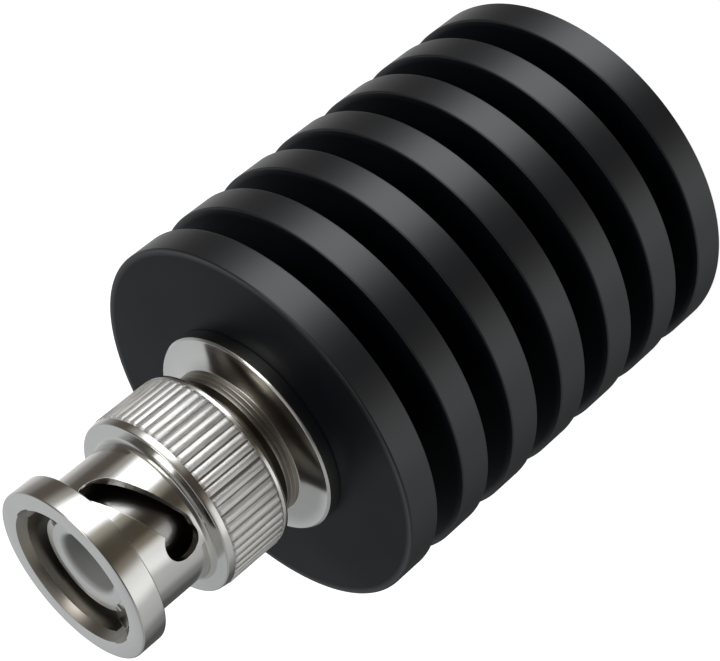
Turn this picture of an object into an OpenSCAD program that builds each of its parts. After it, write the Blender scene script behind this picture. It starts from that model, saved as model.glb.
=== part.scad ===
// Finned coaxial dummy load with a bayonet plug.
// Z runs along the axis. The flat rear fin stands on Z = 0 and the plug points up.

/* [Heat sink] */
// Diameter of the fins
fin_d = 30; // [26:0.5:40]
// Number of fins
fin_count = 7; // [6:1:12]
// Thickness of one fin
fin_t = 2.7; // [2:0.1:4]
// Gap between two fins
fin_gap = 2.7; // [2:0.1:4]
// Bevel on both edges of a fin's rim
fin_bevel = 0.15; // [0.1:0.05:0.6]
// Wall of the core that carries the fins, round the spigot
core_wall = 2.45; // [1.5:0.05:4]
// Thickness of the closed rear wall behind the load
rear_wall = 4; // [2:0.5:8]

/* [Connector flange] */
// Width of the hollow flare, on the radius
flare_w = 2.3; // [1.5:0.1:4]
// Rise of the hollow flare from rim to neck
flare_rise = 0.6; // [0.3:0.05:1.2]
// Height of the flange's rim
flange_t = 1.15; // [0.6:0.05:2]
// Bevel on the flange's rim
flange_bevel = 0.15; // [0.05:0.05:0.3]
// Step from the neck down to the nut's stop, on the radius
neck_step = 0.9; // [0.5:0.05:1.2]
// Length of the neck
neck_len = 1.15; // [0.8:0.05:3]
// Number of fine grooves round the neck
neck_grooves = 2; // [1:1:3]
// Width of one neck groove
neck_groove_w = 0.12; // [0.08:0.02:0.22]
// Depth of one neck groove
neck_groove_depth = 0.05; // [0.03:0.01:0.2]
// Width of the stop that the coupling nut rests on
stop_w = 1.35; // [0.8:0.05:1.6]
// Length of the stop
stop_len = 0.85; // [0.4:0.05:2]
// Wall of the screwed spigot, round the stem
spigot_wall = 1.85; // [1.3:0.05:2.4]
// Length of the spigot in the heat sink
spigot_len = 6; // [4:0.5:9]
// Step from the plug body's bore in to the air line
line_step = 0.3; // [0.2:0.05:0.5]
// Length of the air line at the spigot's end
line_len = 2.95; // [2:0.05:4]

/* [Plug body] */
// Diameter of the stem that the nut turns on
stem_d = 7.2; // [6.6:0.1:7.6]
// Wall of the stem
stem_wall = 1.4; // [1.1:0.05:1.6]
// Thickness of the shoulder inside the nut
shoulder_t = 1.2; // [1:0.1:2]
// Floor under the outer contact's seat, in the shoulder
seat_floor = 0.4; // [0.2:0.05:0.8]

/* [Outer contact] */
// Outside diameter of the contact sleeve
contact_d = 8.1; // [7.9:0.05:8.3]
// Wall of the contact sleeve
contact_wall = 0.6; // [0.4:0.05:0.8]
// Reach of the contact sleeve in front of the shoulder
contact_reach = 8.2; // [7:0.1:9]
// Bevel on the front edge of the contact sleeve
contact_bevel = 0.1; // [0.05:0.05:0.3]
// Step from the contact sleeve down to its seat, on the radius
contact_step = 0.2; // [0.1:0.05:0.3]
// Width of the slits in the contact sleeve
slit_w = 0.4; // [0.2:0.05:0.8]
// Length of the slits
slit_len = 5; // [3:0.5:6.5]
// Thickness of the mating gasket
gasket_t = 0.8; // [0.5:0.1:1.2]

/* [Centre contact] */
// Diameter of the pin
pin_d = 1.35; // [1.2:0.05:1.6]
// Depth of the pin's tip below the front of the contact sleeve
pin_recess = 1.9; // [1:0.1:3]
// Length of the pin's tapered tip
pin_tip_len = 0.8; // [0.4:0.1:1.2]
// Diameter of the pin's flat tip
pin_tip_d = 0.6; // [0.3:0.05:0.9]
// Width of the pin's collar, on the radius
collar_w = 0.5; // [0.3:0.05:0.8]
// Thickness of the pin's collar
collar_t = 0.7; // [0.5:0.05:1]
// Diameter of the pin's stem behind the collar
pin_stem_d = 1.6; // [1.4:0.05:1.8]
// Distance of the pin's rear end from the end of the spigot
pin_end = 1.5; // [0.5:0.1:1.8]
// Wall of the pin's solder cup
cup_wall = 0.35; // [0.2:0.05:0.45]
// Depth of the solder cup
cup_depth = 2.5; // [1.5:0.1:4]
// Wall of the front insulator round its recess
insulator_wall = 1.05; // [0.6:0.05:1.6]
// Floor of the front insulator below its recess
insulator_floor = 3; // [1.6:0.1:4]

/* [Coupling nut] */
// Gap between the contact sleeve and the nut's bore, which a socket's shell enters
mouth_gap = 1; // [0.9:0.05:1.1]
// Step from the barrel out to the knurl's ridges, on the radius
knurl_step = 1.6; // [1:0.05:2.4]
// Number of knurl ridges
knurl_count = 60; // [40:1:72]
// Depth of the knurl grooves
knurl_depth = 0.24; // [0.1:0.02:0.4]
// Length of the knurl
knurl_len = 4.8; // [4:0.1:7]
// Step from the ridges down to the smooth bands
band_step = 0.05; // [0.02:0.01:0.1]
// Length from the rear face to the knurl
rear_band = 0.75; // [0.6:0.05:1.2]
// Height that the rear face falls back outside the stop
rear_relief = 0.3; // [0.1:0.05:0.35]
// Bevel on the rear edge
rear_bevel = 0.12; // [0.05:0.01:0.15]
// Width of the smooth front band
front_band = 0.65; // [0.4:0.05:1.2]
// Fall of the front band's taper, on the radius
front_taper = 0.1; // [0.05:0.05:0.6]
// Wall of the barrel
barrel_wall = 0.65; // [0.55:0.05:1]
// Length of the barrel
barrel_len = 5.7; // [5.4:0.1:7]
// Radius of the hollow at the barrel's root
root_round = 0.45; // [0.2:0.05:0.6]
// Step from the barrel out to the front ring, on the radius
ring_step = 1.3; // [1:0.05:2.4]
// Length of the front ring
ring_len = 2.1; // [1.6:0.1:3]
// Bevel on the front ring's edges
ring_bevel = 0.15; // [0.05:0.05:0.4]
// Width of the mouth's lead-in, on the radius
lead_in_w = 0.5; // [0.3:0.05:0.7]
// Depth of the mouth's lead-in
lead_in_depth = 0.6; // [0.3:0.1:1]
// Thickness of the rear lip
lip_t = 1.1; // [0.8:0.1:2]

/* [Bayonet track] */
// Width of the track
track_w = 2.2; // [2:0.05:2.4]
// Advance of the track in one full turn
track_lead = 14.7; // [13:0.1:16]
// Skin that the blind ramp leaves in the barrel
track_skin = 0.15; // [0.1:0.05:0.3]
// Wall of the front ring behind an entry groove
entry_wall = 1.35; // [0.9:0.05:1.4]
// Turn from entry groove to detent, in degrees
track_turn = 115; // [100:1:120]
// Turn from the start of the open window to the detent, in degrees
window_turn = 67; // [50:1:75]
// Diameter of the detent hole
detent_d = 2.76; // [2.4:0.02:3]
// Distance of the detent from the barrel's root
detent_up = 2; // [1.8:0.05:2.2]
// Offset of the detent towards the front, from the end of the track
detent_offset = 0.65; // [0.3:0.05:0.8]
// Direction of the first detent, in degrees round Z
detent_angle = -120; // [-180:1:180]

/* [Washers] */
// Thickness of the thrust washer
thrust_t = 0.4; // [0.2:0.05:0.6]
// Resting height of the wave washer
wave_h = 1.6; // [1.4:0.1:2.4]
// Thickness of the wave washer
wave_t = 0.3; // [0.15:0.05:0.4]
// Number of waves
wave_count = 3; // [2:1:5]

/* [Load resistor] */
// Diameter of the film rod
rod_d = 3.4; // [2.8:0.1:3.8]
// Wall of the rod's end caps
cap_wall = 0.25; // [0.15:0.05:0.35]
// Length of an end cap
cap_len = 3; // [2:0.1:4]
// Thickness of an end cap's floor
cap_floor = 0.5; // [0.3:0.1:1]
// Gap between the front cap and the spigot
cap_clear = 2; // [1.5:0.1:3]
// Wall of the ceramic sleeve
load_wall = 2.4; // [1.8:0.05:2.6]
// Length of the ground plug
plug_len = 5; // [3.5:0.1:7]
// Depth of the ground plug's socket
socket_depth = 2; // [1:0.1:3]
// Free height of the ground spring
spring_h = 1; // [0.7:0.05:1.6]
// Thickness of the ground spring
spring_t = 0.4; // [0.2:0.05:0.6]
// Width of the ground spring, on the radius
spring_w = 1.95; // [1:0.05:2.5]

/* [Clearances] */
// Gap on the radius round a fixed piece in its seat
seat_gap = 0.05; // [0.02:0.01:0.08]
// Gap on the radius round the turning nut
run_gap = 0.15; // [0.1:0.01:0.2]
// Gap between faces that slide on each other
face_gap = 0.05; // [0.02:0.01:0.1]

/* [Hidden] */

$fn = 96;
// Overshoot of a cut past the face that it opens
over = 1;
// Degrees between two sections of the bayonet track
track_step = 4;
// Sections round the wave washer
wave_steps = 72;
// Segments of the flange's hollow flare
flare_steps = 8;
// Segments of the hollow at the barrel's root
root_steps = 4;

// Diameters, from the stem outwards and inwards
lip_d = stem_d + 2 * run_gap;
stop_d = lip_d + 2 * stop_w;
neck_d = stop_d + 2 * neck_step;
flange_d = neck_d + 2 * flare_w;
stem_bore_d = stem_d + 2 * seat_gap;
spigot_d = stem_bore_d + 2 * spigot_wall;
spigot_bore_d = spigot_d + 2 * seat_gap;
core_d = spigot_bore_d + 2 * core_wall;
dielectric_d = stem_d - 2 * stem_wall;
line_d = dielectric_d - 2 * line_step;

// Diameters inside and outside the coupling nut
nut_bore_d = contact_d + 2 * mouth_gap;
washer_d = nut_bore_d - 2 * run_gap;
barrel_d = nut_bore_d + 2 * barrel_wall;
ring_d = barrel_d + 2 * ring_step;
knurl_d = barrel_d + 2 * knurl_step;
track_d = barrel_d - 2 * track_skin;
entry_d = ring_d - 2 * entry_wall;
knurl_root_d = knurl_d - 2 * knurl_depth;
band_d = knurl_d - 2 * band_step;

// Diameters of the contacts and insulators
contact_bore_d = contact_d - 2 * contact_wall;
contact_root_d = contact_d - 2 * contact_step;
contact_seat_d = contact_root_d + 2 * seat_gap;
insulator_d = contact_bore_d - 2 * seat_gap;
recess_d = insulator_d - 2 * insulator_wall;
collar_d = pin_d + 2 * collar_w;
cup_d = pin_stem_d - 2 * cup_wall;

// Diameters of the load
cap_d = rod_d + 2 * seat_gap + 2 * cap_wall;
cap_bore_d = cap_d + 2 * seat_gap;
load_d = cap_bore_d + 2 * load_wall;
load_bore_d = load_d + 2 * seat_gap;

// Levels of the fixed pieces, from the rear face up
sink_len = fin_count * fin_t + (fin_count - 1) * fin_gap;
spigot_z = sink_len - spigot_len;
stem_z = spigot_z + line_len;
flare_z = sink_len + flange_t;
neck_z = flare_z + flare_rise;
neck_end_z = neck_z + neck_len;
stop_z = neck_end_z + stop_len;

// Levels of the coupling nut and its washers, at rest
nut_z = stop_z + face_gap;
knurl_z = nut_z + rear_band;
knurl_end_z = knurl_z + knurl_len;
barrel_z = knurl_end_z + front_band;
ring_z = barrel_z + barrel_len;
mouth_z = ring_z + ring_len;
lip_z = nut_z + lip_t;
thrust_z = lip_z + face_gap;
wave_z = thrust_z + thrust_t;
shoulder_z = wave_z + wave_h + face_gap;
shoulder_end_z = shoulder_z + shoulder_t;
contact_z = shoulder_z + seat_floor;
gasket_end_z = shoulder_end_z + gasket_t;
front_z = shoulder_end_z + contact_reach;

// Levels of the centre contact
collar_end_z = contact_z + collar_t;
recess_z = contact_z + insulator_floor;
pin_tip_z = front_z - pin_recess;
pin_end_z = spigot_z + pin_end;
cup_end_z = pin_end_z + cup_depth;

// Levels of the load inside the heat sink
plug_z = rear_wall + spring_h;
plug_end_z = plug_z + plug_len;
rear_cap_z = plug_end_z - socket_depth;
rod_z = rear_cap_z + cap_floor;
front_cap_end_z = spigot_z - cap_clear;
rod_end_z = front_cap_end_z - cap_floor;

// Bayonet track: levels of its centre line and its height along Z
detent_z = barrel_z + detent_up;
track_end_z = detent_z - detent_offset;
track_slope = atan(track_lead / (PI * barrel_d));
track_h = track_w / cos(track_slope);
function track_z(turn) = track_end_z + track_lead * turn / 360;

// A ring between two diameters
module ring(outer_d, inner_d, z, h)
    translate([0, 0, z])
        difference() {
            cylinder(d = outer_d, h = h);
            translate([0, 0, -over]) cylinder(d = inner_d, h = h + 2 * over);
        }

// A bore that starts at z and runs up for h
module bore(d, z, h)
    translate([0, 0, z]) cylinder(d = d, h = h);

// One fin's rim, with both edges bevelled
function fin_rim(z) = [
    [core_d / 2, z],
    [fin_d / 2 - fin_bevel, z],
    [fin_d / 2, z + fin_bevel],
    [fin_d / 2, z + fin_t - fin_bevel],
    [fin_d / 2 - fin_bevel, z + fin_t],
    [core_d / 2, z + fin_t]
];

// Turned aluminium heat sink, bored from the front for the load and the spigot
module heat_sink()
    color("#1b1c20")
        difference() {
            rotate_extrude()
                polygon(concat(
                    [[0, 0]],
                    [for (i = [0 : fin_count - 1], p = fin_rim(i * (fin_t + fin_gap))) p],
                    [[0, sink_len]]
                ));
            bore(spigot_bore_d, spigot_z, spigot_len + over);
            bore(load_bore_d, rear_wall, spigot_z - rear_wall + over);
        }

// Hollow flare from the rim up to the neck, as an arc that starts level
flare_run = flare_w - flange_bevel;
flare_r = (flare_run * flare_run + flare_rise * flare_rise) / (2 * flare_rise);
flare_arc = asin(flare_run / flare_r);
function flare_points() = [
    for (i = [0 : flare_steps])
        let (t = flare_arc * i / flare_steps)
            [neck_d / 2 + flare_run - flare_r * sin(t), flare_z + flare_r * (1 - cos(t))]
];

// Fine grooves, spread evenly along the neck
function neck_points() = [
    for (i = [1 : neck_grooves])
        let (
            z = neck_z + neck_len * i / (neck_grooves + 1),
            outer = neck_d / 2,
            floor_r = neck_d / 2 - neck_groove_depth
        )
        each [
            [outer, z - neck_groove_w / 2],
            [floor_r, z - neck_groove_w / 2],
            [floor_r, z + neck_groove_w / 2],
            [outer, z + neck_groove_w / 2]
        ]
];

// Connector base: spigot, flange, flare, grooved neck and the nut's stop
module flared_flange()
    color("#c9c6c0")
        difference() {
            rotate_extrude()
                polygon(concat(
                    [
                        [0, spigot_z],
                        [spigot_d / 2, spigot_z],
                        [spigot_d / 2, sink_len],
                        [flange_d / 2, sink_len],
                        [flange_d / 2, flare_z - flange_bevel]
                    ],
                    flare_points(),
                    neck_points(),
                    [
                        [neck_d / 2, neck_end_z],
                        [stop_d / 2, neck_end_z],
                        [stop_d / 2, stop_z],
                        [0, stop_z]
                    ]
                ));
            bore(stem_bore_d, stem_z, stop_z - stem_z + over);
            bore(line_d, spigot_z - over, line_len + 2 * over);
        }

// Plug body: stem, shoulder and the seat of the outer contact
module plug_body()
    color("#bdb9b1")
        difference() {
            union() {
                bore(stem_d, stem_z, shoulder_end_z - stem_z);
                bore(washer_d, shoulder_z, shoulder_t);
            }
            bore(dielectric_d, stem_z - over, shoulder_end_z - stem_z + 2 * over);
            bore(contact_seat_d, contact_z, shoulder_t - seat_floor + over);
        }

// Outer contact: a sleeve with a narrower root and a slit on either side
module outer_contact()
    color("#d4d2cd")
        difference() {
            rotate_extrude()
                polygon([
                    [contact_bore_d / 2, contact_z],
                    [contact_root_d / 2, contact_z],
                    [contact_root_d / 2, gasket_end_z],
                    [contact_d / 2, gasket_end_z],
                    [contact_d / 2, front_z - contact_bevel],
                    [contact_d / 2 - contact_bevel, front_z],
                    [contact_bore_d / 2, front_z]
                ]);
            rotate(detent_angle + track_turn)
                translate([-contact_d, -slit_w / 2, front_z - slit_len])
                    cube([2 * contact_d, slit_w, slit_len + over]);
        }

// Knurl outline: flat ridges with narrow grooves between them
ridge_share = 0.55;
groove_share = 0.15;
flank_share = (1 - ridge_share - groove_share) / 2;
// Length of a ridge's end that runs into the smooth band
knurl_lap = 0.1;
function on_circle(d, turns) = [d / 2 * cos(360 * turns), d / 2 * sin(360 * turns)];
function knurl_points() = [
    for (i = [0 : knurl_count - 1])
        each [
            on_circle(knurl_d, i / knurl_count),
            on_circle(knurl_d, (i + ridge_share) / knurl_count),
            on_circle(knurl_root_d, (i + ridge_share + flank_share) / knurl_count),
            on_circle(knurl_root_d, (i + 1 - flank_share) / knurl_count)
        ]
];

// Hollow between the nut's front face and its barrel
function root_points() = [
    for (i = [0 : root_steps])
        let (t = 90 * i / root_steps)
            [barrel_d / 2 + root_round * (1 - sin(t)), barrel_z + root_round * (1 - cos(t))]
];

// Nut before boring: smooth bands, hollow root, barrel and front ring
module nut_blank() {
    translate([0, 0, knurl_z - knurl_lap])
        linear_extrude(knurl_len + 2 * knurl_lap) polygon(knurl_points());
    rotate_extrude()
        polygon(concat(
            [
                [0, nut_z],
                [stop_d / 2, nut_z],
                [band_d / 2 - rear_bevel, nut_z + rear_relief],
                [band_d / 2, nut_z + rear_relief + rear_bevel],
                [band_d / 2, knurl_z],
                [knurl_root_d / 2, knurl_z],
                [knurl_root_d / 2, knurl_end_z],
                [band_d / 2, knurl_end_z],
                [band_d / 2 - front_taper, barrel_z]
            ],
            root_points(),
            [
                [barrel_d / 2, ring_z],
                [ring_d / 2 - ring_bevel, ring_z],
                [ring_d / 2, ring_z + ring_bevel],
                [ring_d / 2, mouth_z - ring_bevel],
                [ring_d / 2 - ring_bevel, mouth_z],
                [0, mouth_z]
            ]
        ));
}

// Nut's bore, with the rear lip and the mouth's lead-in
module nut_bore()
    rotate_extrude()
        polygon([
            [0, nut_z - over],
            [lip_d / 2, nut_z - over],
            [lip_d / 2, lip_z],
            [nut_bore_d / 2, lip_z],
            [nut_bore_d / 2, mouth_z - lead_in_depth],
            [nut_bore_d / 2 + lead_in_w, mouth_z],
            [nut_bore_d / 2 + lead_in_w, mouth_z + over],
            [0, mouth_z + over]
        ]);

// Turns and heights of the open window, which starts round and ends in the detent
round_turn = track_w / barrel_d * 180 / PI;
round_angles = [0, 20, 40, 60, 75, 85];
window_steps = ceil(window_turn / track_step);
window_turns = concat(
    [for (i = [0 : window_steps - 1]) window_turn * i / window_steps],
    [for (a = round_angles) window_turn + round_turn * sin(a)]
);
function window_half(turn) =
    turn > window_turn ? track_h / 2 * sqrt(1 - pow((turn - window_turn) / round_turn, 2)) : track_h / 2;
function window_span(turn) = [
    max(track_z(turn) - window_half(turn), detent_z - detent_d / 2 + face_gap),
    track_z(turn) + window_half(turn)
];

// Turns and heights of the blind ramp, from the entry groove into the window
ramp_end = track_turn + track_w / track_d * 180 / PI;
ramp_steps = ceil((ramp_end - window_turn) / track_step);
ramp_turns = [
    for (i = [0 : ramp_steps]) window_turn - track_step / 2 + (ramp_end - window_turn) * i / ramp_steps
];
function ramp_span(turn) = [
    track_z(turn) - track_h / 2 + face_gap,
    track_z(turn) + track_h / 2 - face_gap
];

// Corners of a track's section, from inside the bore out to its reach
function track_section(turn, span, reach) =
    let (
        inner = nut_bore_d / 2 - over,
        c = cos(turn),
        s = sin(turn)
    )
    [
        [inner * c, inner * s, span[0]],
        [reach * c, reach * s, span[0]],
        [reach * c, reach * s, span[1]],
        [inner * c, inner * s, span[1]]
    ];

// Helical channel through a list of turns, with its low and high level at each
module track_channel(turns, spans, reach) {
    last = 4 * (len(turns) - 1);
    points = [for (i = [0 : len(turns) - 1], p = track_section(turns[i], spans[i], reach)) p];
    sides = [
        for (i = [0 : len(turns) - 2], k = [0 : 3])
            let (
                a = 4 * i + k,
                b = 4 * i + (k + 1) % 4
            )
            each [[a, b, a + 4], [b, b + 4, a + 4]]
    ];
    ends = [[0, 2, 1], [0, 3, 2], [last, last + 1, last + 2], [last, last + 2, last + 3]];
    polyhedron(points, concat(sides, ends));
}

// One bayonet track: entry groove, blind ramp, open window and detent, from the detent's direction
module bayonet_track() {
    window_reach = barrel_d / 2 + over;
    entry_z = ring_z + ring_bevel;
    rotate(track_turn)
        intersection() {
            bore(entry_d, entry_z, ring_len + over);
            translate([0, -track_w / 2, entry_z]) cube([entry_d, track_w, ring_len + over]);
        }
    track_channel(ramp_turns, [for (t = ramp_turns) ramp_span(t)], track_d / 2);
    track_channel(window_turns, [for (t = window_turns) window_span(t)], window_reach);
    translate([nut_bore_d / 2 - over, 0, detent_z])
        rotate([0, 90, 0])
            cylinder(d = detent_d, h = window_reach - nut_bore_d / 2 + over);
}

// Coupling nut: knurled, with two bayonet tracks half a turn apart
module coupling_nut()
    color("#d9d6d0")
        difference() {
            nut_blank();
            nut_bore();
            for (side = [0, 180])
                rotate(detent_angle + side) bayonet_track();
        }

// Flat washer between the nut's lip and the wave washer
module thrust_washer()
    color("#b5b2ab") ring(washer_d, lip_d, thrust_z, thrust_t);

// Wave washer: a ring that rises and falls between the thrust washer and the shoulder
function wave_lift(i) = (wave_h - wave_t) * (1 + sin(360 * wave_count * i / wave_steps)) / 2;
function wave_section(i) =
    let (
        t = 360 * i / wave_steps,
        z = wave_z + wave_lift(i),
        inner = lip_d / 2,
        outer = washer_d / 2
    )
    [
        [inner * cos(t), inner * sin(t), z],
        [outer * cos(t), outer * sin(t), z],
        [outer * cos(t), outer * sin(t), z + wave_t],
        [inner * cos(t), inner * sin(t), z + wave_t]
    ];

module wave_washer() {
    points = [for (i = [0 : wave_steps - 1], p = wave_section(i)) p];
    sides = [
        for (i = [0 : wave_steps - 1], k = [0 : 3])
            let (
                j = (i + 1) % wave_steps,
                m = (k + 1) % 4
            )
            each [[4 * i + k, 4 * i + m, 4 * j + k], [4 * i + m, 4 * j + m, 4 * j + k]]
    ];
    color("#8f8c86") polyhedron(points, sides);
}

// Soft gasket on the front of the shoulder
module mating_gasket()
    color("#8a3b2c") ring(washer_d, contact_seat_d, shoulder_end_z, gasket_t);

// Front insulator: fills the outer contact, with a recess round the pin
module front_insulator()
    color("#d6d8d8")
        difference() {
            bore(insulator_d, contact_z, front_z - contact_z);
            bore(recess_d, recess_z, front_z - recess_z + over);
            bore(pin_d + 2 * seat_gap, contact_z - over, front_z - contact_z);
            bore(collar_d + 2 * seat_gap, contact_z - over, collar_t + over);
        }

// Rear insulator: a bead that fills the plug body's bore
module rear_insulator()
    color("#e6e6e2")
        ring(dielectric_d - 2 * seat_gap, pin_stem_d + 2 * seat_gap, stem_z, contact_z - stem_z);

// Centre contact: tapered pin, collar, stem and solder cup
module centre_pin()
    color("#c8a45a")
        difference() {
            rotate_extrude()
                polygon([
                    [0, pin_end_z],
                    [pin_stem_d / 2, pin_end_z],
                    [pin_stem_d / 2, contact_z],
                    [collar_d / 2, contact_z],
                    [collar_d / 2, collar_end_z],
                    [pin_d / 2, collar_end_z],
                    [pin_d / 2, pin_tip_z - pin_tip_len],
                    [pin_tip_d / 2, pin_tip_z],
                    [0, pin_tip_z]
                ]);
            bore(cup_d, pin_end_z - over, cup_depth + over);
        }

// Cap over one end of the film rod, with its floor at floor_z
module end_cap(z, floor_z)
    difference() {
        bore(cap_d, z, cap_len);
        difference() {
            bore(rod_d + 2 * seat_gap, z - over, cap_len + 2 * over);
            bore(cap_d, floor_z, cap_floor);
        }
    }

// Front cap with the lead that sits in the pin's solder cup
module resistor_front_cap()
    color("#c9c5b4") {
        end_cap(front_cap_end_z - cap_len, rod_end_z);
        bore(cup_d - 2 * seat_gap, rod_end_z, cup_end_z - seat_gap - rod_end_z);
    }

// Ceramic rod that carries the resistive film
module resistor_rod()
    color("#4a3b34") bore(rod_d, rod_z, rod_end_z - rod_z);

// Rear cap, held in the ground plug's socket
module resistor_rear_cap()
    color("#c9c5b4") end_cap(rear_cap_z, rear_cap_z);

// Ceramic sleeve that carries heat from the film to the heat sink
module load_sleeve()
    color("#e9e6dc") ring(load_d, cap_bore_d, plug_end_z, spigot_z - plug_end_z);

// Ground plug: joins the rear cap to the heat sink
module ground_plug()
    color("#b99b52")
        difference() {
            bore(load_d, plug_z, plug_len);
            bore(cap_bore_d, rear_cap_z, socket_depth + over);
        }

// Conical spring that presses the ground plug and the load forwards
module ground_spring()
    color("#a6a39c")
        rotate_extrude()
            polygon([
                [load_d / 2, rear_wall],
                [load_d / 2, rear_wall + spring_t],
                [load_d / 2 - spring_w, rear_wall + spring_h],
                [load_d / 2 - spring_w, rear_wall + spring_h - spring_t]
            ]);

heat_sink();
flared_flange();
plug_body();
outer_contact();
coupling_nut();
thrust_washer();
wave_washer();
mating_gasket();
front_insulator();
rear_insulator();
centre_pin();
resistor_front_cap();
resistor_rod();
resistor_rear_cap();
load_sleeve();
ground_plug();
ground_spring();
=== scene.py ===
import math

import bmesh
import bpy
from bpy.props import FloatProperty, FloatVectorProperty, IntProperty, PointerProperty
from mathutils import Matrix, Vector


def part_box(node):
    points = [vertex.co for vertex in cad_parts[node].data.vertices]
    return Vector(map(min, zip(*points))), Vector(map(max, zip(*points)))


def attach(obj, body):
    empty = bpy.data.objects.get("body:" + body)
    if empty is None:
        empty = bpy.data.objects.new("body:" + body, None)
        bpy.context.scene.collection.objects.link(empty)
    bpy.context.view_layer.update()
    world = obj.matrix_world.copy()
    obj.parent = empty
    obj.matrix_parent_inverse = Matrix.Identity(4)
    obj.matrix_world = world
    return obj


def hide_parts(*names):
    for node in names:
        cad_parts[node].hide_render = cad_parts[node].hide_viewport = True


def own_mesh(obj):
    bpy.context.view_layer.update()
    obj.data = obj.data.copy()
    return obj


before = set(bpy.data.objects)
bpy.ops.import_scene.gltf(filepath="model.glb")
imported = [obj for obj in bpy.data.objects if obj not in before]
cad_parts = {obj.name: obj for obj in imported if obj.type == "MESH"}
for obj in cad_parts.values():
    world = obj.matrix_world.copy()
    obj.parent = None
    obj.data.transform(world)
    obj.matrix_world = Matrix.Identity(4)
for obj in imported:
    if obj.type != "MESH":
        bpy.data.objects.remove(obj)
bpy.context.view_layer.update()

MM = 0.001

bl_info = {
    "name": "Finned dummy load",
    "version": (1, 0, 0),
    "blender": (4, 5, 0),
    "location": "View3D > Sidebar > Dummy load",
    "description": "Dresses a finned coaxial dummy load with its heat sink, bayonet plug and stage",
    "category": "Add Mesh",
}

SINK_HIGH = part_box("heat_sink")[1]
FLANGE_LOW, FLANGE_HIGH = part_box("flared_flange")
NUT_LOW, NUT_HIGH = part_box("coupling_nut")
STEM_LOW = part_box("plug_body")[0]
BEAD_LOW, BEAD_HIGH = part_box("front_insulator")

STOP_RADIUS = 5.1 * MM
HAIR = 0.01 * MM
BUMP_DEPTH = 0.02 * MM
IMAGE_WIDTH = 720.0


def length(name, description, default):
    return FloatProperty(
        name=name, description=description, default=default, unit="LENGTH", precision=5, min=0.0
    )


def angle(name, description, degrees):
    return FloatProperty(
        name=name, description=description, default=math.radians(degrees), subtype="ANGLE"
    )


def colour(name, description, default):
    return FloatVectorProperty(
        name=name, description=description, default=default, subtype="COLOR", size=3, min=0.0, max=1.0
    )


class SinkSizes(bpy.types.PropertyGroup):
    """Sizes of the finned heat sink"""

    segments: IntProperty(
        name="Segments", description="Facets round a turned piece", default=224, min=24
    )
    fin_count: IntProperty(name="Fins", description="Number of fins", default=7, min=1)
    fin_thickness: length("Fin thickness", "Thickness of one fin", 2.7 * MM)
    fin_gap: length("Fin gap", "Gap between two fins", 2.7 * MM)
    fin_edge: length("Fin edge", "Size of the bevel on a fin's rim", 0.15 * MM)
    core_radius: length("Core radius", "Radius of the core between the fins", 8.0 * MM)


class PlugSizes(bpy.types.PropertyGroup):
    """Sizes of the bayonet plug"""

    flange_height: length("Flange rim", "Height of the flange's rim", 1.15 * MM)
    flange_edge: length("Flange edge", "Bevel on the flange's rim", 0.15 * MM)
    flare_rise: length("Flare rise", "Rise of the hollow flare from rim to neck", 0.6 * MM)
    neck_radius: length("Neck radius", "Radius of the grooved neck", 6.0 * MM)
    neck_length: length("Neck length", "Length of the grooved neck", 1.15 * MM)
    neck_rings: IntProperty(name="Neck rings", description="Fine rings round the neck", default=2, min=1)
    neck_groove: length("Neck groove", "Depth of the grooves between the neck's rings", 0.04 * MM)
    rear_relief: length(
        "Rear relief", "Height that the nut's rear face falls back outside the stop", 0.3 * MM
    )
    rear_edge: length("Rear edge", "Bevel on the nut's rear edge", 0.12 * MM)
    root_round: length("Root round", "Radius of the hollow at the barrel's root", 0.45 * MM)
    ridge_count: IntProperty(name="Knurl ridges", description="Ridges round the nut", default=60, min=8)
    ridge_depth: length("Knurl depth", "Depth of the grooves between ridges", 0.24 * MM)
    knurl_start: length("Knurl start", "Distance of the knurl from the nut's rear", 0.75 * MM)
    knurl_length: length("Knurl length", "Length of the knurl", 4.8 * MM)
    ridge_sway: FloatProperty(
        name="Knurl sway", description="Most that a ridge shifts, as a share of the pitch", default=0.08
    )
    ridge_narrowest: FloatProperty(
        name="Narrowest ridge", description="Least share of its width that a ridge keeps", default=0.85
    )
    barrel_radius: length("Barrel radius", "Radius of the nut's barrel", 5.7 * MM)
    barrel_start: length("Barrel start", "Distance of the barrel from the nut's rear", 6.2 * MM)
    ring_radius: length("Ring radius", "Radius of the front ring", 7.0 * MM)
    ring_length: length("Ring length", "Length of the front ring", 2.1 * MM)
    bore_radius: length("Bore radius", "Radius of the nut's bore", 5.05 * MM)
    lead_width: length("Lead-in width", "Width of the mouth's lead-in", 0.5 * MM)
    lead_depth: length("Lead-in depth", "Depth of the mouth's lead-in", 0.6 * MM)
    entry_wall: length("Entry wall", "Wall of the ring behind an entry groove", 1.35 * MM)
    track_width: length("Track width", "Width of the bayonet track", 2.2 * MM)
    track_lead: length("Track lead", "Advance of the track in one turn", 14.7 * MM)
    track_turn: angle("Track turn", "Turn from entry groove to detent", 115)
    window_turn: angle("Window turn", "Turn from the window's start to the detent", 67)
    detent_radius: length("Detent radius", "Radius of the detent hole", 1.38 * MM)
    detent_up: length("Detent height", "Distance of the detent from the barrel's root", 2.0 * MM)
    detent_offset: length("Detent offset", "Offset of the detent from the track's end", 0.65 * MM)
    detent_angle: angle("Detent angle", "Direction of the first detent", -120)


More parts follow.
